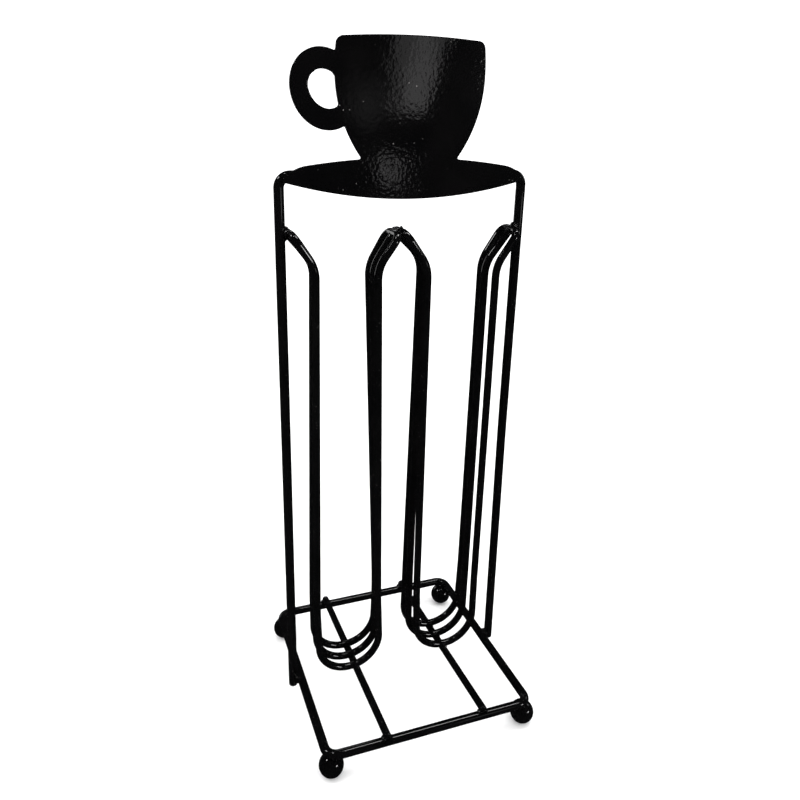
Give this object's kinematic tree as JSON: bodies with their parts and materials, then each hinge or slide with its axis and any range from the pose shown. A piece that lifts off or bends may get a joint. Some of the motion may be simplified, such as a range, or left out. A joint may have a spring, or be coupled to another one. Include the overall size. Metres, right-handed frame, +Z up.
{
  "type": "coffee capsule stand",
  "caption": "Free-standing black wire stand with upright U-shaped channels for small coffee capsules under a flat cup-and-saucer plate, on ball feet.",
  "frame": {"origin": "middle of the outline on the floor, level with the bottoms of the ball feet", "axes": "+X across the channels toward the viewer's right, +Y from the front (plate side) to the back, +Z up"},
  "size_m": [0.16, 0.1534, 0.441],
  "materials": {
    "wire_coat": "glossy black coat on round steel wire",
    "plate_coat": "glossy black coat over lightly hammered sheet steel",
    "foot_coat": "glossy black coat on round steel balls"
  },
  "bodies": {
    "root": {"arch_frame": "wire_coat", "base_loop": "wire_coat", "left_base_rod": "wire_coat", "right_base_rod": "wire_coat", "left_channel_front_wire": "wire_coat", "left_channel_middle_wire": "wire_coat", "left_channel_rear_wire": "wire_coat", "right_channel_front_wire": "wire_coat", "right_channel_middle_wire": "wire_coat", "right_channel_rear_wire": "wire_coat", "foot_front_left": "foot_coat", "foot_front_right": "foot_coat", "foot_rear_left": "foot_coat", "foot_rear_right": "foot_coat", "cup_plate": "plate_coat", "rod_welds": "wire_coat", "channel_welds": "wire_coat", "post_welds": "wire_coat", "top_welds": "wire_coat", "plate_welds": "wire_coat", "foot_welds": "wire_coat"}
  },
  "joints": []
}
